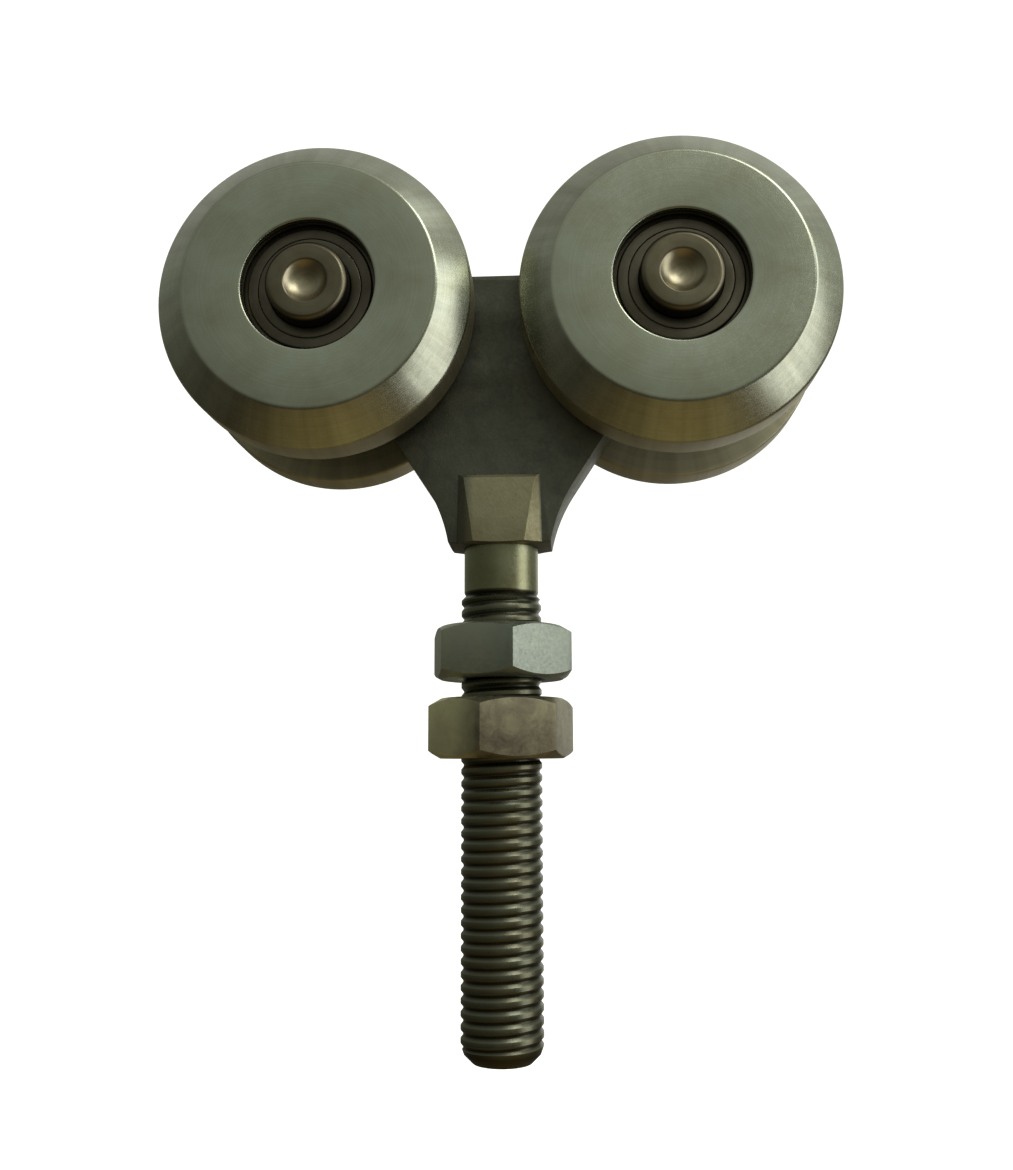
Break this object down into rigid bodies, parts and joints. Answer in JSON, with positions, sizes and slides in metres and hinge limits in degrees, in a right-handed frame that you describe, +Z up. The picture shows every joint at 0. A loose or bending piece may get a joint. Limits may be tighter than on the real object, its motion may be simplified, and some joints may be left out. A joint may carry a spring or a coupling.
{
  "type": "hanging track trolley",
  "caption": "Hanging track trolley: chamfered steel wheels on ball bearings, a flared steel body and a threaded pendant stud with hexagon nuts.",
  "frame": {"origin": "on the plane that the wheels roll on, midway between the four wheel contacts; the axles are 19.5 mm above it", "axes": "+X along the track, +Y across the track towards the rear wheels, +Z up, with the pendant stud hanging along -Z"},
  "size_m": [0.0838, 0.0306, 0.1114],
  "materials": {
    "wheel_steel": "turned and ground, lightly oiled",
    "bearing_steel": "ground bearing steel",
    "ball_steel": "polished balls",
    "shield_steel": "dark pressed sheet, greasy",
    "axle_steel": "turned, slightly tarnished",
    "body_steel": "dark blasted forging",
    "stud_steel": "rolled thread, dark oiled",
    "upper_nut_steel": "bright zinc",
    "lower_nut_steel": "yellowish zinc"
  },
  "bodies": {
    "hanger": {"hanger_body": "body_steel", "left_axle": "axle_steel", "right_axle": "axle_steel", "pendant_stud": "stud_steel", "front_left_bearing_inner_ring": "bearing_steel", "front_left_spacer": "axle_steel", "front_right_bearing_inner_ring": "bearing_steel", "front_right_spacer": "axle_steel", "rear_left_bearing_inner_ring": "bearing_steel", "rear_left_spacer": "axle_steel", "rear_right_bearing_inner_ring": "bearing_steel", "rear_right_spacer": "axle_steel"},
    "front_left_roller": {"front_left_wheel": "wheel_steel", "front_left_bearing_outer_ring": "bearing_steel", "front_left_outer_shield": "shield_steel", "front_left_inner_shield": "shield_steel"},
    "front_left_ball_set": {"front_left_bearing_balls": "ball_steel"},
    "front_right_roller": {"front_right_wheel": "wheel_steel", "front_right_bearing_outer_ring": "bearing_steel", "front_right_outer_shield": "shield_steel", "front_right_inner_shield": "shield_steel"},
    "front_right_ball_set": {"front_right_bearing_balls": "ball_steel"},
    "rear_left_roller": {"rear_left_wheel": "wheel_steel", "rear_left_bearing_outer_ring": "bearing_steel", "rear_left_outer_shield": "shield_steel", "rear_left_inner_shield": "shield_steel"},
    "rear_left_ball_set": {"rear_left_bearing_balls": "ball_steel"},
    "rear_right_roller": {"rear_right_wheel": "wheel_steel", "rear_right_bearing_outer_ring": "bearing_steel", "rear_right_outer_shield": "shield_steel", "rear_right_inner_shield": "shield_steel"},
    "rear_right_ball_set": {"rear_right_bearing_balls": "ball_steel"},
    "upper_nut": {"upper_nut": "upper_nut_steel"},
    "lower_nut": {"lower_nut": "lower_nut_steel"}
  },
  "joints": [
    {"name": "front_left_wheel_spin", "type": "hinge", "parent": "hanger", "child": "front_left_roller", "pos_m": [-0.02235, -0.00995, 0.0195], "axis": [0, 1, 0], "continuous": true},
    {"name": "front_left_ball_orbit", "type": "hinge", "parent": "hanger", "child": "front_left_ball_set", "pos_m": [-0.02235, -0.0103, 0.0195], "axis": [0, 1, 0], "continuous": true},
    {"name": "front_right_wheel_spin", "type": "hinge", "parent": "hanger", "child": "front_right_roller", "pos_m": [0.02235, -0.00995, 0.0195], "axis": [0, 1, 0], "continuous": true},
    {"name": "front_right_ball_orbit", "type": "hinge", "parent": "hanger", "child": "front_right_ball_set", "pos_m": [0.02235, -0.0103, 0.0195], "axis": [0, 1, 0], "continuous": true},
    {"name": "rear_left_wheel_spin", "type": "hinge", "parent": "hanger", "child": "rear_left_roller", "pos_m": [-0.02235, 0.00995, 0.0195], "axis": [0, 1, 0], "continuous": true},
    {"name": "rear_left_ball_orbit", "type": "hinge", "parent": "hanger", "child": "rear_left_ball_set", "pos_m": [-0.02235, 0.0103, 0.0195], "axis": [0, 1, 0], "continuous": true},
    {"name": "rear_right_wheel_spin", "type": "hinge", "parent": "hanger", "child": "rear_right_roller", "pos_m": [0.02235, 0.00995, 0.0195], "axis": [0, 1, 0], "continuous": true},
    {"name": "rear_right_ball_orbit", "type": "hinge", "parent": "hanger", "child": "rear_right_ball_set", "pos_m": [0.02235, 0.0103, 0.0195], "axis": [0, 1, 0], "continuous": true},
    {"name": "upper_nut_travel", "type": "slide", "parent": "hanger", "child": "upper_nut", "axis": [0, 0, 1], "range_m": [-0.0021, 0.0037]},
    {"name": "lower_nut_travel", "type": "slide", "parent": "hanger", "child": "lower_nut", "axis": [0, 0, 1], "range_m": [-0.034, 0]}
  ],
  "couplings": [
    {"joint": "front_left_ball_orbit", "follows": "front_left_wheel_spin", "ratio": 0.5759},
    {"joint": "front_right_ball_orbit", "follows": "front_right_wheel_spin", "ratio": 0.5759},
    {"joint": "rear_left_ball_orbit", "follows": "rear_left_wheel_spin", "ratio": 0.5759},
    {"joint": "rear_right_ball_orbit", "follows": "rear_right_wheel_spin", "ratio": 0.5759}
  ]
}
